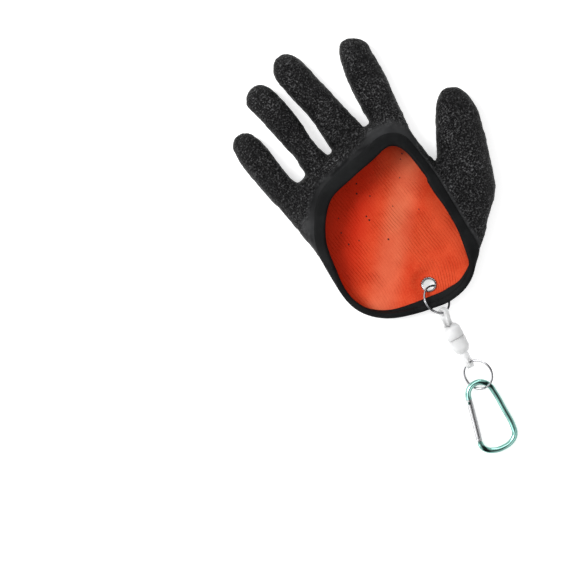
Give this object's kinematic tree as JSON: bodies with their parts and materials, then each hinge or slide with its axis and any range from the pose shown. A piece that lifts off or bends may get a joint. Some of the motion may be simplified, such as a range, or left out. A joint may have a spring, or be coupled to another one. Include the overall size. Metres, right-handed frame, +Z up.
{
  "type": "fishing glove",
  "caption": "Left fishing glove of knit dipped in crinkled latex, its back cut open and bound, with an eyelet, split rings, a magnetic release and a small carabiner.",
  "frame": {"origin": "middle of the palm's flat underside, on the surface that the glove lies on", "axes": "+Y to the fingertips, +X to the thumb, +Z up through the opening in the back of the hand"},
  "size_m": [0.1708, 0.3476, 0.0282],
  "materials": {
    "latex": "crinkled, semi-matt",
    "knit": "fine rib knit, matt",
    "binding": "smooth woven tape, satin",
    "steel": "bright",
    "plastic": "milky, satin",
    "anodised": "green anodised, satin",
    "silver": "satin"
  },
  "bodies": {
    "glove": {"latex_coat": "latex", "knit_liner": "knit", "edge_binding": "binding", "eyelet": "steel", "split_ring_glove": "steel", "release_upper": "plastic"},
    "clip_side": {"release_lower": "plastic", "split_ring_clip": "steel", "carabiner_frame": "anodised", "gate_rivet": "steel"},
    "gate": {"carabiner_gate": "silver"}
  },
  "joints": [
    {"name": "release_pull", "type": "slide", "parent": "glove", "child": "clip_side", "axis": [-0.1886, -0.9821, 0], "range_m": [0, 0.02], "stiffness_N_per_m": 100},
    {"name": "gate_hinge", "type": "hinge", "parent": "clip_side", "child": "gate", "pos_m": [-0.04625, -0.15935, 0.0037], "axis": [0.012, 0.0545, -0.9984], "range_deg": [0, 34], "stiffness_Nm_per_rad": 0.02, "springref_deg": -11.46}
  ]
}
